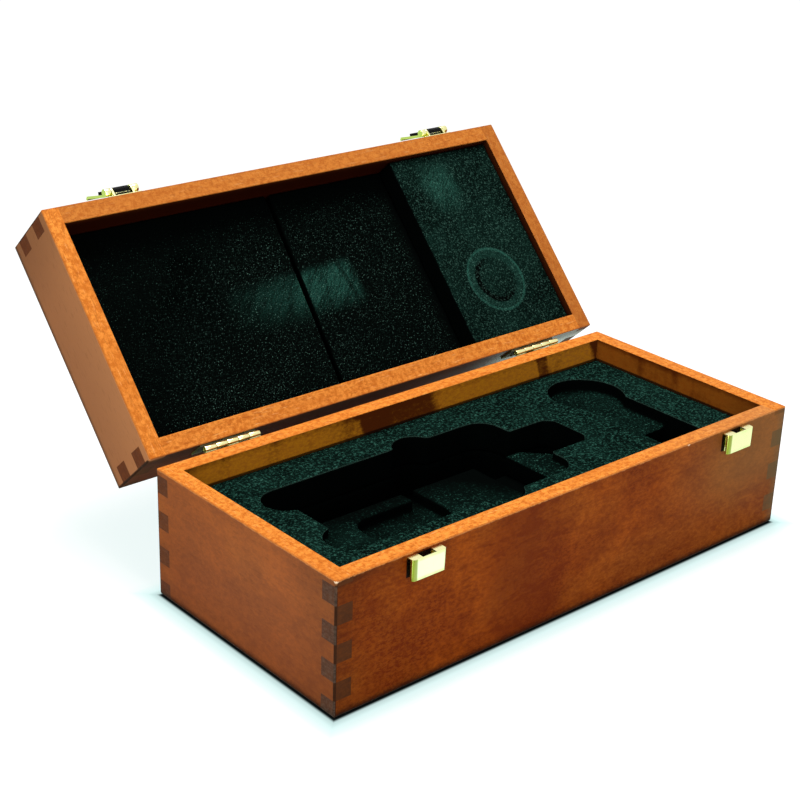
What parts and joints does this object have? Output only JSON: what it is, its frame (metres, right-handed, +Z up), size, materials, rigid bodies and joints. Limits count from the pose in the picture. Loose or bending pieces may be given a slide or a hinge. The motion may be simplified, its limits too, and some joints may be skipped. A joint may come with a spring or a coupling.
{
  "type": "microphone case",
  "caption": "Long wooden carry case with a hinged lid, box-jointed corners, brass flap latches and foam cut to hold a microphone and its clip.",
  "frame": {"origin": "centre of the base's underside", "axes": "+X to the right along the front, +Y to the hinges at the back, +Z up"},
  "size_m": [0.4, 0.3517, 0.2288],
  "materials": {
    "stained_wood": "satin",
    "foam": "matte",
    "brass": "polished",
    "black_steel": "satin"
  },
  "bodies": {
    "base": {"base_back_board": "stained_wood", "base_bottom_panel": "stained_wood", "base_foam_floor": "foam", "base_foam_middle": "foam", "base_foam_top": "foam", "base_front_board": "stained_wood", "base_left_end": "stained_wood", "base_right_end": "stained_wood", "hinge_base_screws": "brass", "hinge_left_base_leaf": "brass", "hinge_left_pin": "brass", "hinge_right_base_leaf": "brass", "hinge_right_pin": "brass", "keeper_nails": "brass", "latch_left_keeper": "brass", "latch_right_keeper": "brass"},
    "lid": {"hinge_left_lid_leaf": "brass", "hinge_lid_screws": "brass", "hinge_right_lid_leaf": "brass", "latch_left_pin": "brass", "latch_left_plate": "brass", "latch_left_spring": "black_steel", "latch_plate_nails": "brass", "latch_right_pin": "brass", "latch_right_plate": "brass", "latch_right_spring": "black_steel", "lid_back_board": "stained_wood", "lid_foam_backing": "foam", "lid_foam_left_pad": "foam", "lid_foam_middle_pad": "foam", "lid_foam_right_block": "foam", "lid_front_board": "stained_wood", "lid_left_end": "stained_wood", "lid_right_end": "stained_wood", "lid_top_panel": "stained_wood"},
    "left_flap": {"latch_left_catch": "black_steel", "latch_left_flap": "brass"},
    "right_flap": {"latch_right_catch": "black_steel", "latch_right_flap": "brass"}
  },
  "joints": [
    {"name": "lid", "type": "hinge", "parent": "base", "child": "lid", "pos_m": [0, 0.0935, 0.0907], "axis": [1, 0, 0], "range_deg": [0, 132.5]},
    {"name": "left_latch", "type": "hinge", "parent": "lid", "child": "left_flap", "pos_m": [-0.1358, 0.22476, 0.22595], "axis": [1, 0, 0], "range_deg": [0, 154]},
    {"name": "right_latch", "type": "hinge", "parent": "lid", "child": "right_flap", "pos_m": [0.1444, 0.22476, 0.22595], "axis": [1, 0, 0], "range_deg": [0, 154]}
  ]
}
